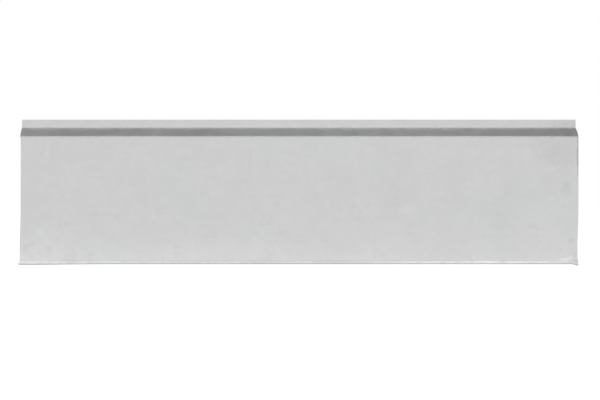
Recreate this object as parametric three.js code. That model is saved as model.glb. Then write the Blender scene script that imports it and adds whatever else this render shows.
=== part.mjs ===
// A door kick plate: one strip of galvanised sheet steel, bent lengthwise on a press brake.
//
// From the top edge down it is a nailing lip, an offset that carries the sheet forward, a rounded nose,
// a tall flat face, and a drip that kicks out at the bottom. The drip ends in a hem, where the sheet is
// folded back on itself to stiffen the edge and hide the raw cut.
//
// Millimetres. +X runs along the plate, +Y towards the wall and +Z up.
// The origin is the middle of the lip's back face, where the plate meets the framing.

import * as THREE from "three";

const { degToRad } = THREE.MathUtils;

// Driving dimensions. Heights and depths run between the sharp corners that the bends round off,
// in the middle of the sheet's thickness. Slopes are measured from the vertical.
const PLATE_LENGTH = 914.4;
const SHEET_THICKNESS = 0.55;
const LIP_HEIGHT = 13.3;
const OFFSET_DEPTH = 15.9;
const OFFSET_SLOPE = degToRad(45);
const FACE_HEIGHT = 203.3;
const DRIP_HEIGHT = 3.7;
const DRIP_SLOPE = degToRad(35);
const HEM_WIDTH = 3.2;
const HEM_GAP = 0.6;
const BEND_INSIDE_RADIUS = 1.2;
const NOSE_INSIDE_RADIUS = 3.2;

// Bends are drawn with a straight step for each turn of this much or less.
const BEND_STEP = degToRad(7.5);

// Radii and lengths in the middle of the sheet's thickness, as the strip is laid out.
const BEND_RADIUS = BEND_INSIDE_RADIUS + SHEET_THICKNESS / 2;
const NOSE_RADIUS = NOSE_INSIDE_RADIUS + SHEET_THICKNESS / 2;
const HEM_RADIUS = (HEM_GAP + SHEET_THICKNESS) / 2;
const OFFSET_WIDTH = OFFSET_DEPTH / Math.sin(OFFSET_SLOPE);
const DRIP_WIDTH = DRIP_HEIGHT / Math.cos(DRIP_SLOPE);

// How much of the straight run on each side of a corner its bend takes up.
const setback = (turn, radius) => radius * Math.tan(turn / 2);
const LIP_SETBACK = setback(OFFSET_SLOPE, BEND_RADIUS);
const NOSE_SETBACK = setback(OFFSET_SLOPE, NOSE_RADIUS);
const DRIP_SETBACK = setback(DRIP_SLOPE, BEND_RADIUS);

// The sheet from the top edge down, as straight runs and bends.
// A positive turn leans the sheet out to the front, a negative one back towards the wall.
const strip = [
  { run: LIP_HEIGHT - LIP_SETBACK },
  { turn: OFFSET_SLOPE, radius: BEND_RADIUS },
  { run: OFFSET_WIDTH - LIP_SETBACK - NOSE_SETBACK },
  { turn: -OFFSET_SLOPE, radius: NOSE_RADIUS },
  { run: FACE_HEIGHT - NOSE_SETBACK - DRIP_SETBACK },
  { turn: DRIP_SLOPE, radius: BEND_RADIUS },
  { run: DRIP_WIDTH - DRIP_SETBACK },
  { turn: -Math.PI, radius: HEM_RADIUS },
  { run: HEM_WIDTH },
];

// Follows the middle of the sheet down the strip, in the (Y, Z) plane, from the top edge of the lip.
// Each station is a point there with the sheet's lean, its angle from straight down towards the front.
function walkStrip() {
  const place = new THREE.Vector2(-SHEET_THICKNESS / 2, LIP_HEIGHT / 2);
  const stations = [{ place: place.clone(), lean: 0 }];
  let lean = 0;
  const advance = (distance) => {
    place.x -= distance * Math.sin(lean);
    place.y -= distance * Math.cos(lean);
  };
  for (const { run, turn, radius } of strip) {
    if (run) {
      advance(run);
      stations.push({ place: place.clone(), lean });
      continue;
    }
    const steps = Math.ceil(Math.abs(turn) / BEND_STEP);
    const chord = 2 * radius * Math.sin(Math.abs(turn) / steps / 2);
    for (let step = 0; step < steps; step += 1) {
      lean += turn / steps / 2;
      advance(chord);
      lean += turn / steps / 2;
      stations.push({ place: place.clone(), lean });
    }
  }
  return stations;
}

// The closed outline of the bent sheet: down its front side and back up the side towards the wall.
function sheetSection() {
  const stations = walkStrip();
  const side = (distance) =>
    stations.map(({ place, lean }) => {
      const towardsFront = new THREE.Vector2(-Math.cos(lean), Math.sin(lean));
      return place.clone().addScaledVector(towardsFront, distance);
    });
  const front = side(SHEET_THICKNESS / 2);
  const back = side(-SHEET_THICKNESS / 2);
  return new THREE.Shape([...front, ...back.reverse()]);
}

// The section pulled out to the plate's length. It is drawn flat, so the mesh turns its plane to stand
// across the plate: drawn x becomes +Y, drawn y becomes +Z, and the extrusion runs along +X.
function kickPlate() {
  const geometry = new THREE.ExtrudeGeometry(sheetSection(), { depth: PLATE_LENGTH, bevelEnabled: false });
  const galvanisedSteel = new THREE.MeshStandardMaterial({ color: 0xc6c9c9, roughness: 0.42, metalness: 1 });
  const mesh = new THREE.Mesh(geometry, galvanisedSteel);
  mesh.name = "kick_plate";
  mesh.rotation.set(Math.PI / 2, Math.PI / 2, 0);
  mesh.position.x = -PLATE_LENGTH / 2;
  return mesh;
}

const part = new THREE.Group();
part.name = "door_kick_plate";
part.add(kickPlate());

export default part;
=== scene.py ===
"""A kick plate for under a door sill: one strip of hot-dip galvanised sheet steel with a hemmed drip edge.

The CAD sheet is dead straight. Here the same section is swept again in fine steps, with slightly rounded
shears, ends cut a little out of true, a drip that is bent more in some places than in others, a knocked
corner, a faint waviness in the flat face, and a zinc skin.

Metres, in the CAD frame: +X along the plate, +Y towards the wall, +Z up.
"""

import math
from collections import namedtuple

import bmesh
import bpy
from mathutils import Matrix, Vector, noise


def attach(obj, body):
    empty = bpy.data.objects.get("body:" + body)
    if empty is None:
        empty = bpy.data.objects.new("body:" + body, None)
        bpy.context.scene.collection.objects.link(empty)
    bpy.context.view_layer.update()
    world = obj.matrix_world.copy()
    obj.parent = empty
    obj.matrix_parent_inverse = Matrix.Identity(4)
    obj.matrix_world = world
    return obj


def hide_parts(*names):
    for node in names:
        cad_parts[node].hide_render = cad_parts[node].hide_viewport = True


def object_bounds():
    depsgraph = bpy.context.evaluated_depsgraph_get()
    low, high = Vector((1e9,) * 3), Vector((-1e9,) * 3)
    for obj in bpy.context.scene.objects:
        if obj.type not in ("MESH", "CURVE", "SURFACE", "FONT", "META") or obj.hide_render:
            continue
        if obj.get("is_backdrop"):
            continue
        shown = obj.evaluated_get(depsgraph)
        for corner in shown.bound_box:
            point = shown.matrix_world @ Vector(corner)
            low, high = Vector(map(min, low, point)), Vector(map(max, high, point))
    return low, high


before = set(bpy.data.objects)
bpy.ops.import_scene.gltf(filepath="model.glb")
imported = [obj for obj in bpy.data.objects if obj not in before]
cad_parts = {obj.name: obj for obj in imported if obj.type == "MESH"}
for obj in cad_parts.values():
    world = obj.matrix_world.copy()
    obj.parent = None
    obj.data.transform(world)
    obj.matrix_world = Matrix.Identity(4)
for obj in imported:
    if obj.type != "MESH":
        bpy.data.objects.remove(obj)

MM = 0.001
CAD_NODE = "kick_plate"
CAD_LOW, CAD_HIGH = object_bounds()

# The camera looks straight at the plate, level with a line this far below its top edge.
EYE_BELOW_TOP = 132.7 * MM
EYE_DISTANCE = 1940 * MM
EYE_RIGHT_OF_MIDDLE = 1.3 * MM
LENS_MM = 70.47

# The grid starts this fine at each edge and bend, and its steps grow by this factor up to the coarsest.
FINEST_STEP = 0.5 * MM
STEP_GROWTH = 1.08
COARSEST_STEP = 14 * MM

# Points closer together than this are one point, and directions this close, in radians, are the same.
SAME_POINT = MM / 1000
SAME_DIRECTION = 1e-3

# How near the plate's end a point has to be to count as on it, and how squarely an end face looks along X.
END_TOLERANCE = MM / 10
END_FACING = 0.9

# Shears leave the sheet's edges rounded by about this much, wherever two faces meet at more than this.
EDGE_ROUNDING = 0.12 * MM
EDGE_ROUNDING_STEPS = 2
SHARP_EDGE = math.radians(60)

# The drip is bent out a little less around the middle.
MIDDLE_OPENING = math.radians(2.5)
MIDDLE_PLACE = -75 * MM
MIDDLE_EDGE = (150 * MM, 245 * MM)
DRIP_UNEVENNESS = math.radians(1.5)
DRIP_WAVE_LENGTHS = (70 * MM, 22 * MM)

# Its flange is wider towards the left end and at the right corner, so the drip hangs lower there.
LEFT_REACH = 1.5 * MM
LEFT_LENGTH = 165 * MM
CORNER_REACH = 3.0 * MM
CORNER_LENGTH = 13 * MM

# A knock pushed the right corner back, below a soft crease that climbs from the drip's bend to this height.
CREASE_LENGTH = 34 * MM
CREASE_FADE = CREASE_LENGTH / 3
CREASE_HEIGHT = 9 * MM
CREASE_SLOPE = math.tan(math.radians(9))
CREASE_SOFTNESS = 1.5 * MM

# The flat face bows in and out by up to about this much, over stretches of about this length.
FACE_BOW = 0.5 * MM
FACE_BOW_LENGTH = 230 * MM

SEED = Vector((3.7, 1.9, 8.2))

# A place down the strip: the middle of the sheet and the half thickness towards its front side, as (y, z)
# vectors, the distance along the flat strip, and how strongly it is bent there, from 0 to 1.
Station = namedtuple("Station", "middle side travelled bent")

# Where each kind of place on the strip lies, as a distance down the flat strip from the lip's top edge.
Strip = namedtuple("Strip", "lip_end face_top face_end drip_start drip_end")

# The sheet's two sides, and which way each lies from its middle.
SIDES = (("front", 1), ("back", -1))


# ---- the sheet ----------------------------------------------------------------------------------


def end_outline(mesh):
    """The section's closed outline as (y, z) points, from the lip's top front corner down the front."""
    solid = bmesh.new()
    solid.from_mesh(mesh)
    bmesh.ops.remove_doubles(solid, verts=solid.verts, dist=SAME_POINT)
    is_end = {face: face.normal.x > END_FACING for face in solid.faces}
    rim = {}
    for edge in solid.edges:
        if sum(is_end[face] for face in edge.link_faces) == 1 and len(edge.link_faces) == 2:
            first, second = edge.verts
            if min(first.co.x, second.co.x) > CAD_HIGH.x - END_TOLERANCE:
                rim.setdefault(first, []).append(second)
                rim.setdefault(second, []).append(first)
    # Heights are rounded to a micrometre, so that of the two top corners the front one is taken.
    start = max(rim, key=lambda corner: (round(corner.co.z, 6), -corner.co.y))
    here, before = min(rim[start], key=lambda corner: corner.co.z), start
    outline = [start]
    while here is not start:
        outline.append(here)
        here, before = next(corner for corner in rim[here] if corner is not before), here
    points = [Vector((corner.co.y, corner.co.z)) for corner in outline]
    solid.free()
    return points


def graded(length):
    """Places along a stretch from 0 to length, closest together at both ends."""
    near, step = [0.0], FINEST_STEP
    while near[-1] + step < length / 2:
        near.append(near[-1] + step)
        step = min(step * STEP_GROWTH, COARSEST_STEP)
    far = [length - place for place in reversed(near)]
    return near + far


def strip_stations(mesh):
    """Stations down the strip: one at each of the section's own corners, and more along its long runs."""
    outline = end_outline(mesh)
    half = len(outline) // 2
    pairs = list(zip(outline[:half], reversed(outline[half:])))
    middles = [(front + back) / 2 for front, back in pairs]
    sides = [(front - back) / 2 for front, back in pairs]
    stations, travelled = [], 0.0
    for index, (middle, side) in enumerate(zip(middles, sides)):
        neighbours = [sides[i] for i in (index - 1, index + 1) if 0 <= i < half]
        bent = any(near.angle(side) > SAME_DIRECTION for near in neighbours)
        stations.append(Station(middle, side, travelled, float(bent)))
        if index + 1 == half:
            break
        gap = middles[index + 1] - middle
        if gap.length > 2 * FINEST_STEP and side.angle(sides[index + 1]) < SAME_DIRECTION:
            for place in graded(gap.length)[1:-1]:
                along = middle + gap * (place / gap.length)
                stations.append(Station(along, side, travelled + place, 0.0))
        travelled += gap.length
    return stations


def share(value, low, high):
    """How far value is on its way from low to high, from 0 to 1."""
    return min(max((value - low) / (high - low), 0.0), 1.0)


def ease(value, low, high):
    t = share(value, low, high)
    return t * t * (3 - 2 * t)


def turned(vector, angle):
    """A (y, z) vector turned so that what points down swings towards the wall for a positive angle."""
    return Vector((vector.x * math.cos(angle) - vector.y * math.sin(angle),
                   vector.x * math.sin(angle) + vector.y * math.cos(angle)))


def drip_shape(x):
    """How far the drip has opened from its full bend at this place along the plate, and how much wider
    its flange is."""
    waves = sum(noise.noise(Vector((x / length, 0, 0)) + SEED) for length in DRIP_WAVE_LENGTHS)
    in_middle = 1 - ease(abs(x - MIDDLE_PLACE), *MIDDLE_EDGE)
    near_left = 1 - ease(x - CAD_LOW.x, 0, LEFT_LENGTH)
    in_corner = 1 - ease(CAD_HIGH.x - x, 0, CORNER_LENGTH)
    opening = MIDDLE_OPENING * in_middle + DRIP_UNEVENNESS * waves
    return opening, LEFT_REACH * near_left + CORNER_REACH * in_corner


def knocked_back(x, above_drip):
    """How far the knocked corner stands back at a height above the drip's bend."""
    start = CAD_HIGH.x - CREASE_LENGTH
    crease = CREASE_HEIGHT * share(x, start, CAD_HIGH.x)
    below = crease - max(above_drip, 0.0)
    folded = (below + math.hypot(below, CREASE_SOFTNESS)) / 2
    return CREASE_SLOPE * folded * ease(x, start, start + CREASE_FADE)


def shear_wander(strip):
    """How far each sheared end stands to the right of a square cut: the place down the strip, then the
    left end and the right end."""
    face = strip.face_end - strip.face_top
    return (
        (strip.lip_end, -0.7 * MM, -0.8 * MM),
        ((strip.lip_end + strip.face_top) / 2, -0.7 * MM, 0.4 * MM),
        (strip.face_top, 0.2 * MM, 0.2 * MM),
        (strip.face_top + 4 * MM, 1.2 * MM, 0.3 * MM),
        (strip.face_top + face * 0.60, 0.9 * MM, 0.2 * MM),
        (strip.face_top + face * 0.88, -0.5 * MM, -1.3 * MM),
        (strip.face_end - 6 * MM, -0.5 * MM, -1.3 * MM),
        (strip.drip_start, -0.7 * MM, 0.1 * MM),
        (strip.drip_end, -1.9 * MM, -0.8 * MM),
    )


def sheared_ends(travelled, wander):
    """Where the sheet starts and stops along X at this place down the strip."""
    before, after = wander[0], wander[0]
    for mark in wander:
        before, after = after, mark
        if travelled < mark[0]:
            break
    way = ease(travelled, before[0], after[0]) if after[0] > before[0] else 1.0
    left, right = (before[side] + (after[side] - before[side]) * way for side in (1, 2))
    return CAD_LOW.x + left, CAD_HIGH.x + right


def face_bow(x, z, down_face):
    """How far the face bows out at a place this share of the way down it."""
    rise = math.sin(math.pi * down_face) ** 2
    return FACE_BOW * rise * noise.noise(Vector((x, 0, z)) / FACE_BOW_LENGTH + SEED)


def landmarks(stations):
    """Where each kind of place lies down the strip, the point the drip swings about, and its way down."""
    upright = [station for station in stations if abs(station.side.y) < SAME_POINT]
    lip = [station for station in upright if station.middle.x > CAD_LOW.y / 2]
    flat = [station for station in upright if station.middle.x < CAD_LOW.y / 2]
    below_face = [station for station in stations if station.travelled > flat[-1].travelled]
    drip = [station for station in below_face if station.bent == 0.0 and station.side.y > 0]
    strip = Strip(lip[-1].travelled, flat[0].travelled, flat[-1].travelled,
                  drip[0].travelled, drip[-1].travelled)
    return strip, flat[-1].middle, (drip[-1].middle - drip[0].middle).normalized()


def place_corners(sheet, stations, columns):
    """The corners of both sides of the sheet, by side, column and row, each with the material's
    coordinates on the flat strip and how strongly the sheet is worked there."""
    strip, drip_hinge, drip_heading = landmarks(stations)
    wander = shear_wander(strip)
    on_strip = sheet.verts.layers.float_vector.new("on_strip")
    worked = sheet.verts.layers.float.new("worked")
    grid = {}
    for row, (middle, side, travelled, bent) in enumerate(stations):
        down_face = share(travelled, strip.face_top, strip.face_end)
        into_drip = share(travelled, strip.face_end, strip.drip_start)
        down_drip = share(travelled, strip.drip_start, strip.drip_end)
        start, stop = sheared_ends(travelled, wander)
        for column, along in enumerate(columns):
            x = start + (stop - start) * along
            opening, reach = drip_shape(x)
            opening *= into_drip
            widened = middle + drip_heading * reach * down_drip
            place = drip_hinge + turned(widened - drip_hinge, opening)
            place.x += knocked_back(x, middle.y - drip_hinge.y) - face_bow(x, middle.y, down_face)
            half = turned(side, opening)
            for name, sign in SIDES:
                y, z = place + half * sign
                corner = sheet.verts.new((x, y, z))
                # The sign keeps the patterns on the two sides apart.
                corner[on_strip] = (x, travelled, sign)
                corner[worked] = bent
                grid[name, column, row] = corner
    return grid


def skin_sheet(sheet, grid, last_column, last_row):
    """Faces over both sides of the sheet, in the first material, and round its shears, in the second."""
    def patch(*corners):
        return sheet.faces.new([grid[corner] for corner in corners])

    for name, _ in SIDES:
        for column in range(last_column):
            for row in range(last_row):
                patch((name, column, row), (name, column + 1, row),
                      (name, column + 1, row + 1), (name, column, row + 1))
    shears = []
    for row in (0, last_row):
        for column in range(last_column):
            shears.append(patch(("front", column, row), ("front", column + 1, row),
                                ("back", column + 1, row), ("back", column, row)))
    for column in (0, last_column):
        for row in range(last_row):
            shears.append(patch(("front", column, row), ("front", column, row + 1),
                                ("back", column, row + 1), ("back", column, row)))
    for shear in shears:
        shear.material_index = 1
    bmesh.ops.recalc_face_normals(sheet, faces=sheet.faces)
    for face in sheet.faces:
        face.smooth = True


def build_sheet(node):
    stations = strip_stations(node.data)
    length = CAD_HIGH.x - CAD_LOW.x
    columns = [place / length for place in graded(length)]
    sheet = bmesh.new()
    grid = place_corners(sheet, stations, columns)
    skin_sheet(sheet, grid, len(columns) - 1, len(stations) - 1)

    mesh = bpy.data.meshes.new("galvanised_sheet")
    sheet.to_mesh(mesh)
    sheet.free()
    piece = bpy.data.objects.new("galvanised_sheet", mesh)
    bpy.context.scene.collection.objects.link(piece)
    rounding = piece.modifiers.new("rounded_shears", "BEVEL")
    rounding.width = EDGE_ROUNDING
    rounding.segments = EDGE_ROUNDING_STEPS
    rounding.limit_method = "ANGLE"
    rounding.angle_limit = SHARP_EDGE
    rounding.harden_normals = True
    return piece


# ---- materials ----------------------------------------------------------------------------------


def add(tree, kind, sockets=None, **settings):
    """A new node with its settings made, and each socket either linked or set to a value."""
    made = tree.nodes.new(kind)
    for name, value in settings.items():
        setattr(made, name, value)
    for name, value in (sockets or {}).items():
        if isinstance(value, bpy.types.NodeSocket):
            tree.links.new(value, made.inputs[name])
        else:
            made.inputs[name].default_value = value
    return made


def maths(tree, operation, *values):
    return add(tree, "ShaderNodeMath", dict(enumerate(values)), operation=operation).outputs[0]


def vector_maths(tree, operation, *values):
    return add(tree, "ShaderNodeVectorMath", dict(enumerate(values)), operation=operation).outputs[0]


def spread(tree, value, low, high, to_low, to_high, **settings):
    sockets = {"Value": value, "From Min": low, "From Max": high, "To Min": to_low, "To Max": to_high}
    return add(tree, "ShaderNodeMapRange", sockets, **settings).outputs["Result"]


def smooth_step(tree, *values):
    return spread(tree, *values, interpolation_type="SMOOTHSTEP")


def centred(tree, value):
    """A value that runs from 0 to 1, moved to run from -0.5 to 0.5."""
    return maths(tree, "SUBTRACT", value, 0.5)


def centred_vector(tree, value):
    return vector_maths(tree, "SUBTRACT", value, (0.5, 0.5, 0.5))


def split(tree, vector):
    """The X, Y and Z of a vector."""
    return add(tree, "ShaderNodeSeparateXYZ", {"Vector": vector}).outputs


def mixed(tree, factor, first, second):
    return add(tree, "ShaderNodeMix", {0: factor, 6: first, 7: second}, data_type="RGBA").outputs[2]


def cloud(tree, place, size, detail=2.0, roughness=0.5):
    """Soft noise from 0 to 1 whose blobs are about this large, in metres."""
    sockets = {"Vector": place, "Scale": 1 / size, "Detail": detail, "Roughness": roughness}
    return add(tree, "ShaderNodeTexNoise", sockets, noise_dimensions="3D").outputs["Fac"]


def stretched(tree, place, scale):
    return vector_maths(tree, "MULTIPLY", place, scale)


def soft_mark(tree, across, up, uneven, mark):
    """A patch of the plate that fades out unevenly from its middle, from 1 to 0."""
    aside = maths(tree, "DIVIDE", maths(tree, "SUBTRACT", across, mark.x), mark.half_width)
    above = maths(tree, "DIVIDE", maths(tree, "SUBTRACT", up, mark.z), mark.half_height)
    squares = maths(tree, "MULTIPLY_ADD", aside, aside, maths(tree, "MULTIPLY", above, above))
    return smooth_step(tree, maths(tree, "ADD", squares, uneven), 0.0, 1.0, 1.0, 0.0)


def new_material(name):
    material = bpy.data.materials.new(name)
    material.use_nodes = True
    tree = material.node_tree
    return material, tree, tree.nodes["Principled BSDF"]


# Zinc crystals: their size, how far a noise of what size makes their borders ragged, how much each leans
# the surface, and the long narrow feathering inside them.
CRYSTAL_SIZE = 9 * MM
CRYSTAL_RAGGEDNESS = 4 * MM
RAGGED_SIZE = 6 * MM
CRYSTAL_LEAN = 0.035
FEATHER_SIZE = 2.2 * MM
FEATHER_NARROWING = 5.0

# The other patterns in the zinc: their size, and how far the line traces are drawn out along the plate.
DULLING_SIZE = 90 * MM
LINE_TRACE_SIZE = 7 * MM
LINE_TRACE_DRAWN = 0.04
GRAIN_SIZE = 0.7 * MM

# How much each pattern moves the tone, and how the tone sets the reflectance.
CRYSTAL_TONE = 0.15
FEATHER_TONE = 0.15
DULLING_TONE = 0.80
LINE_TRACE_TONE = 0.20
GRAIN_TONE = 0.06
REFLECTANCE_BASE = 0.69
REFLECTANCE_SPAN = 0.11

# The marks fade out along a ragged line: the size and strength of the noise in it.
BLOTCH_SIZE = 9 * MM
BLOTCH_STRENGTH = 1.8

# Fine smudges, in patches, mostly low on the face: sizes, the noise levels between which each comes in,
# the heights between which they thin out, the share left above those, and how much they change the tone.
HANDLED_SIZE = 90 * MM
HANDLED_LEVELS = (0.48, 0.62)
HANDLED_HEIGHTS = (-150 * MM, -60 * MM)
HANDLED_ABOVE = 0.25
SMUDGE_SIZE = 22 * MM
SMUDGE_LEVELS = (0.54, 0.70)
SMUDGE_TONE = -0.36

# The zinc is very slightly cooler in broad patches.
HUE_SIZE = 110 * MM
HUE_SHIFT = (5.0, 2.0, 0.0)
HUE_LEVELS = (0.50, 0.72)
PLAIN_TINT = (1.001, 0.999, 1.000, 1)
COOL_TINT = (0.984, 1.004, 1.000, 1)

# Roughness: its level, and how far the crystals, the dulling and the bends move it.
ROUGHNESS = 0.34
CRYSTAL_ROUGHNESS = 0.07
DULLING_ROUGHNESS = 0.10
BEND_ROUGHNESS = 0.04

# Fine relief, from the feathering and the grain.
FEATHER_RELIEF = 0.6
GRAIN_RELIEF = 0.4
RELIEF_DEPTH = 0.01 * MM
RELIEF_STRENGTH = 0.6

# Cut edges: bare steel, and zinc smeared over it in streaks.
BARE_STEEL = (0.36, 0.35, 0.34, 1)
SMEARED_ZINC = (0.62, 0.63, 0.63, 1)
SMEAR_SIZE = 3 * MM
SMEAR_DRAWN = 0.25
SMEAR_LEVELS = (0.42, 0.58)
CUT_GRAIN_SIZE = 0.4 * MM
CUT_GRAIN_LEVELS = (0.3, 0.7)
CUT_ROUGHNESS = (0.38, 0.58)
CUT_DEPTH = 0.02 * MM
CUT_STRENGTH = 0.5

# Where the zinc is duller or brighter, and where highlights and shade are painted on, in millimetres: the
# middle of each mark, half its size along and up the plate, and how much it changes the tone.
Mark = namedtuple("Mark", "x z half_width half_height change")
MARKS_IN_MM = (
    # Dulled at the right end: the corner of the face, the lip and the offset; and a dark line along the
    # shear.
    Mark(438, -34, 72, 48, -0.38),
    Mark(446, 0, 45, 10, -0.30),
    Mark(452, -14.5, 32, 9, -0.60),
    Mark(456.3, -50, 2.6, 55, -1.3),
    # Smudges.
    Mark(437, -106, 11, 16, -0.45),
    Mark(445, -193, 8, 7, -0.45),
    Mark(426, -208, 8, 6, -0.30),
    Mark(-410, -208, 7, 8, -0.40),
    Mark(-449, -208, 7, 6, -0.30),
    # Rubbed a little brighter.
    Mark(180, -143, 18, 14, 0.28),
    Mark(-425, -178, 12, 10, 0.18),
    # Upright scuffs.
    Mark(-412, -46, 3, 18, 0.25),
    Mark(-81, -64, 4, 42, -0.20),
    Mark(103, -46, 4, 20, -0.20),
    # The drip: painted highlight along its bright line towards both ends, two stains, and painted shade on
    # the face just above it.
    Mark(-430, -227.3, 70, 3.4, 0.45),
    Mark(320, -227.3, 175, 3.4, 0.60),
    Mark(283, -227, 4, 3, -0.8),
    Mark(333, -227, 6, 3, -0.9),
    Mark(320, -220, 220, 22, -0.15),
    # The knocked corner: a painted highlight where its opened bend catches the light, and painted shade at
    # its edge beside it.
    Mark(436, -224, 13, 5, 0.80),
    Mark(453, -222, 6.5, 12, -0.70),
)
MARKS = [Mark(*(size * MM for size in mark[:4]), mark.change) for mark in MARKS_IN_MM]


def crystals(tree, place):
    """Crystals with ragged borders: the colour of each, which holds three random numbers."""
    warp_sockets = {"Vector": place, "Scale": 1 / RAGGED_SIZE, "Detail": 3.0}
    warp = add(tree, "ShaderNodeTexNoise", warp_sockets, noise_dimensions="3D").outputs["Color"]
    shift = stretched(tree, centred_vector(tree, warp), (CRYSTAL_RAGGEDNESS, CRYSTAL_RAGGEDNESS, 0.0))
    ragged = vector_maths(tree, "ADD", place, shift)
    return add(tree, "ShaderNodeTexVoronoi", {"Vector": ragged, "Scale": 1 / CRYSTAL_SIZE},
               voronoi_dimensions="3D").outputs["Color"]


def feathering(tree, place, heading):
    """Fine streaks inside each crystal, along a heading of its own."""
    spun = add(tree, "ShaderNodeVectorRotate",
               {"Vector": place, "Axis": (0, 0, 1), "Angle": maths(tree, "MULTIPLY", heading, math.tau)},
               rotation_type="AXIS_ANGLE").outputs["Vector"]
    return cloud(tree, stretched(tree, spun, (1.0, FEATHER_NARROWING, 1.0)), FEATHER_SIZE, detail=3.0)


def marked(tree, place, tone):
    """The tone with the marks and the fine smudges added, at their places on the plate; some of the marks
    are painted highlights and painted shade.
    """
    spot = split(tree, add(tree, "ShaderNodeTexCoord").outputs["Object"])
    blotches = cloud(tree, place, BLOTCH_SIZE, detail=4.0, roughness=0.6)
    uneven = maths(tree, "MULTIPLY", centred(tree, blotches), BLOTCH_STRENGTH)
    for mark in MARKS:
        patch = soft_mark(tree, spot["X"], spot["Z"], uneven, mark)
        tone = maths(tree, "MULTIPLY_ADD", patch, mark.change, tone)
    handled = smooth_step(tree, cloud(tree, place, HANDLED_SIZE, detail=1.0), *HANDLED_LEVELS, 0.0, 1.0)
    low_down = smooth_step(tree, spot["Z"], *HANDLED_HEIGHTS, 1.0, HANDLED_ABOVE)
    handled = maths(tree, "MULTIPLY", handled, low_down)
    smudges = cloud(tree, place, SMUDGE_SIZE, detail=4.0, roughness=0.6)
    smudge = smooth_step(tree, smudges, *SMUDGE_LEVELS, 0.0, 1.0)
    return maths(tree, "MULTIPLY_ADD", maths(tree, "MULTIPLY", handled, smudge), SMUDGE_TONE, tone)


def zinc_skin():
    """Hot-dip zinc: small low-contrast crystals, each with its own tilt and gloss, faint cloudy
    dulling, traces of the coating line along the strip, and a slightly rougher skin on the bends."""
    material, tree, surface = new_material("zinc_skin")
    place = add(tree, "ShaderNodeAttribute", attribute_name="on_strip").outputs["Vector"]
    bent = add(tree, "ShaderNodeAttribute", attribute_name="worked").outputs["Fac"]
    crystal = crystals(tree, place)
    channels = add(tree, "ShaderNodeSeparateColor", {"Color": crystal}).outputs
    shade, gloss, heading = channels["Red"], channels["Green"], channels["Blue"]
    feather = feathering(tree, place, heading)
    dulling = cloud(tree, place, DULLING_SIZE, detail=4.0, roughness=0.55)
    drawn_out = stretched(tree, place, (LINE_TRACE_DRAWN, 1.0, 1.0))
    line_trace = cloud(tree, drawn_out, LINE_TRACE_SIZE, detail=3.0)
    grain = cloud(tree, place, GRAIN_SIZE)

    tone = maths(tree, "MULTIPLY", centred(tree, shade), CRYSTAL_TONE)
    patterns = ((feather, FEATHER_TONE), (dulling, DULLING_TONE), (line_trace, LINE_TRACE_TONE),
                (grain, GRAIN_TONE))
    for value, weight in patterns:
        tone = maths(tree, "MULTIPLY_ADD", centred(tree, value), weight, tone)
    # The marks add painted highlights and painted shade to the tone, on the drip and at the knocked corner.
    tone = maths(tree, "ADD", marked(tree, place, tone), 0.5)
    reflectance = maths(tree, "MULTIPLY_ADD", tone, REFLECTANCE_SPAN, REFLECTANCE_BASE)
    hue = cloud(tree, vector_maths(tree, "ADD", place, HUE_SHIFT), HUE_SIZE)
    tint = mixed(tree, spread(tree, hue, *HUE_LEVELS, 0.0, 1.0), PLAIN_TINT, COOL_TINT)
    colour = add(tree, "ShaderNodeVectorMath", {"Vector": tint, "Scale": reflectance}, operation="SCALE")
    tree.links.new(colour.outputs["Vector"], surface.inputs["Base Color"])

    rough = maths(tree, "MULTIPLY_ADD", centred(tree, gloss), CRYSTAL_ROUGHNESS, ROUGHNESS)
    rough = maths(tree, "MULTIPLY_ADD", centred(tree, dulling), DULLING_ROUGHNESS, rough)
    rough = maths(tree, "MULTIPLY_ADD", bent, BEND_ROUGHNESS, rough)
    tree.links.new(rough, surface.inputs["Roughness"])

    normal = add(tree, "ShaderNodeNewGeometry").outputs["Normal"]
    lean = stretched(tree, centred_vector(tree, crystal), (CRYSTAL_LEAN,) * 3)
    tilted = vector_maths(tree, "NORMALIZE", vector_maths(tree, "ADD", normal, lean))
    relief = maths(tree, "ADD", maths(tree, "MULTIPLY", feather, FEATHER_RELIEF),
                   maths(tree, "MULTIPLY", grain, GRAIN_RELIEF))
    bump = add(tree, "ShaderNodeBump", {"Height": relief, "Distance": RELIEF_DEPTH,
                                        "Strength": RELIEF_STRENGTH, "Normal": tilted})
    tree.links.new(bump.outputs["Normal"], surface.inputs["Normal"])
    surface.inputs["Metallic"].default_value = 1.0
    return material


def sheared_steel():
    """A cut edge: bare grey steel with zinc dragged over part of it by the blade."""
    material, tree, surface = new_material("sheared_steel")
    place = add(tree, "ShaderNodeTexCoord").outputs["Object"]
    smear = cloud(tree, stretched(tree, place, (1.0, SMEAR_DRAWN, 1.0)), SMEAR_SIZE, detail=3.0)
    cut_grain = cloud(tree, place, CUT_GRAIN_SIZE)
    colour = mixed(tree, spread(tree, smear, *SMEAR_LEVELS, 0.0, 1.0), BARE_STEEL, SMEARED_ZINC)
    tree.links.new(colour, surface.inputs["Base Color"])
    rough = spread(tree, cut_grain, *CUT_GRAIN_LEVELS, *CUT_ROUGHNESS)
    tree.links.new(rough, surface.inputs["Roughness"])
    bump = add(tree, "ShaderNodeBump",
               {"Height": cut_grain, "Distance": CUT_DEPTH, "Strength": CUT_STRENGTH})
    tree.links.new(bump.outputs["Normal"], surface.inputs["Normal"])
    surface.inputs["Metallic"].default_value = 1.0
    return material


# ---- studio -------------------------------------------------------------------------------------

FLOOR_RADIUS = 12.0
FLOOR_SIDES = 64
FLOOR_CLEARANCE = 0.1 * MM
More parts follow.
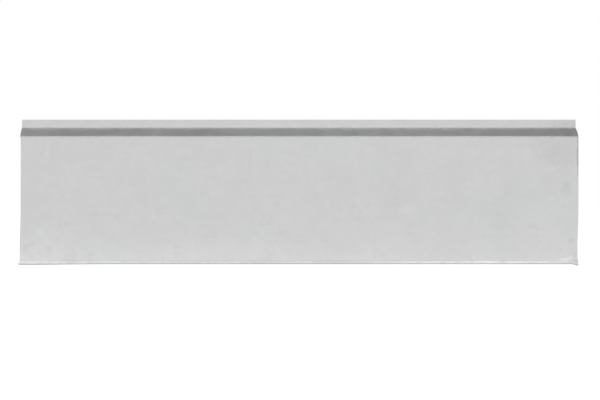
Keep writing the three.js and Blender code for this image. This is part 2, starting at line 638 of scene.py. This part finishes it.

# The floor is paper, drawn in two ways that a real floor could not combine. The camera sees it nearly
# white, with a trace of real shadow. The plate sees given light levels instead: shadow right under the
# drip, a brighter pool beside that, then one level further off.
PAPER_FIBRE_SIZE = 4 * MM
PAPER_TONES = ((0.91, 0.91, 0.91, 1), (0.93, 0.93, 0.93, 1))
PAPER_ROUGHNESS = 0.9
PAPER_SHINE = 0.2
PAPER_SEEN_GLOW = 1.10
PAPER_SHADOW_SHARE = 0.12
PAPER_LEVEL = 0.79
PAPER_POOL_GAIN = 0.26
PAPER_SHADOW_LEVEL = 0.10
SHADOW_EDGE = (0 * MM, 10 * MM)
POOL_EDGE = (60 * MM, 300 * MM)

# Light from each part of the tent. Directions are unit vectors, so the limits are sines of angles above
# the horizon (up), towards the back of the plate (behind) and along it (aside).
EYE_LEVEL = 0.880
UPPER_LEVEL = 0.50
UPPER_UP = (0.26, 0.52)
SOFTBOX_LEVELS = (1.50, 1.82)
SOFTBOX_UP = (0.81, 0.89)
SOFTBOX_ASIDE = (0.05, 0.25)
GAP_UP = (0.80, 0.92)
GAP_FRONT = (-0.33, -0.15)
GAP_REAR = (0.28, 0.48)
GAP_MIDDLE_LEVEL = 0.22
GAP_SIDE_LEVELS = (0.14, 0.12)
GAP_SIDE_REACH = 0.35


def studio_floor(height):
    mesh = bpy.data.meshes.new("studio_floor")
    disc = bmesh.new()
    bmesh.ops.create_circle(disc, cap_ends=True, segments=FLOOR_SIDES, radius=FLOOR_RADIUS)
    disc.to_mesh(mesh)
    disc.free()
    floor = bpy.data.objects.new("studio_floor", mesh)
    floor.location.z = height
    bpy.context.scene.collection.objects.link(floor)
    material, tree, surface = new_material("studio_paper")
    place = add(tree, "ShaderNodeTexCoord").outputs["Object"]
    fibre = cloud(tree, place, PAPER_FIBRE_SIZE, detail=3.0)
    tree.links.new(mixed(tree, fibre, *PAPER_TONES), surface.inputs["Base Color"])
    surface.inputs["Roughness"].default_value = PAPER_ROUGHNESS
    surface.inputs["Specular IOR Level"].default_value = PAPER_SHINE
    behind_drip = maths(tree, "SUBTRACT", split(tree, place)["Y"], CAD_LOW.y)
    away = maths(tree, "ABSOLUTE", behind_drip)
    lit = smooth_step(tree, away, *SHADOW_EDGE, PAPER_SHADOW_LEVEL, PAPER_LEVEL)
    pool = smooth_step(tree, away, *POOL_EDGE, 1 + PAPER_POOL_GAIN, 1.0)
    reflected = add(tree, "ShaderNodeEmission", {"Strength": maths(tree, "MULTIPLY", lit, pool)})
    glow = add(tree, "ShaderNodeEmission", {"Strength": PAPER_SEEN_GLOW})
    sheet = add(tree, "ShaderNodeMixShader",
                {0: 1 - PAPER_SHADOW_SHARE, 1: surface.outputs[0], 2: glow.outputs[0]})
    seen = add(tree, "ShaderNodeLightPath").outputs["Is Camera Ray"]
    paper = add(tree, "ShaderNodeMixShader", {0: seen, 1: reflected.outputs[0], 2: sheet.outputs[0]})
    tree.links.new(paper.outputs[0], tree.nodes["Material Output"].inputs["Surface"])
    mesh.materials.append(material)
    floor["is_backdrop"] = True


def studio_light():
    """A white tent, bright at eye level and weaker above that, with strong softboxes high up and a dim gap
    right above the plate, so that what faces up at 45 degrees looks dark. The camera sees plain white."""
    world = bpy.data.worlds.new("studio")
    world.use_nodes = True
    bpy.context.scene.world = world
    tree = world.node_tree
    tree.nodes.clear()
    direction = add(tree, "ShaderNodeTexCoord").outputs["Generated"]
    parts = split(tree, direction)
    up, behind, aside = parts["Z"], parts["Y"], parts["X"]
    tent = smooth_step(tree, up, *UPPER_UP, EYE_LEVEL, UPPER_LEVEL)
    softbox = smooth_step(tree, maths(tree, "ABSOLUTE", aside), *SOFTBOX_ASIDE, *SOFTBOX_LEVELS)
    tent = smooth_step(tree, up, *SOFTBOX_UP, tent, softbox)
    gap = smooth_step(tree, up, *GAP_UP, 0.0, 1.0)
    gap = maths(tree, "MULTIPLY", gap, smooth_step(tree, behind, *GAP_FRONT, 0.0, 1.0))
    gap = maths(tree, "MULTIPLY", gap, smooth_step(tree, behind, *GAP_REAR, 1.0, 0.0))
    left_level, right_level = GAP_SIDE_LEVELS
    gap_left = smooth_step(tree, aside, -GAP_SIDE_REACH, 0.0, left_level, GAP_MIDDLE_LEVEL)
    gap_right = smooth_step(tree, aside, 0.0, GAP_SIDE_REACH, 0.0, right_level - GAP_MIDDLE_LEVEL)
    gap_level = maths(tree, "ADD", gap_left, gap_right)
    level = add(tree, "ShaderNodeMix", {0: gap, 2: tent, 3: gap_level}).outputs[0]
    light = add(tree, "ShaderNodeBackground", {"Strength": level})
    backdrop = add(tree, "ShaderNodeBackground", {"Strength": 1.0})
    for source in (light, backdrop):
        source.inputs["Color"].default_value = (1, 1, 1, 1)
    seen = add(tree, "ShaderNodeLightPath").outputs["Is Camera Ray"]
    sky = add(tree, "ShaderNodeMixShader", {0: seen, 1: light.outputs[0], 2: backdrop.outputs[0]})
    add(tree, "ShaderNodeOutputWorld", {"Surface": sky.outputs[0]})


def studio_camera():
    data = bpy.data.cameras.new("camera")
    data.lens = LENS_MM
    camera = bpy.data.objects.new("camera", data)
    middle = (CAD_LOW.x + CAD_HIGH.x) / 2
    camera.location = (middle + EYE_RIGHT_OF_MIDDLE, CAD_HIGH.y - EYE_DISTANCE, CAD_HIGH.z - EYE_BELOW_TOP)
    camera.rotation_euler = (math.pi / 2, 0, 0)
    bpy.context.scene.collection.objects.link(camera)
    bpy.context.scene.camera = camera


studio_camera()
plate = build_sheet(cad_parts[CAD_NODE])
plate.data.materials.append(zinc_skin())
plate.data.materials.append(sheared_steel())
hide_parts(CAD_NODE)
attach(plate, "root")
studio_floor(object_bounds()[0].z - FLOOR_CLEARANCE)
studio_light()
bpy.context.scene.view_settings.view_transform = "Standard"
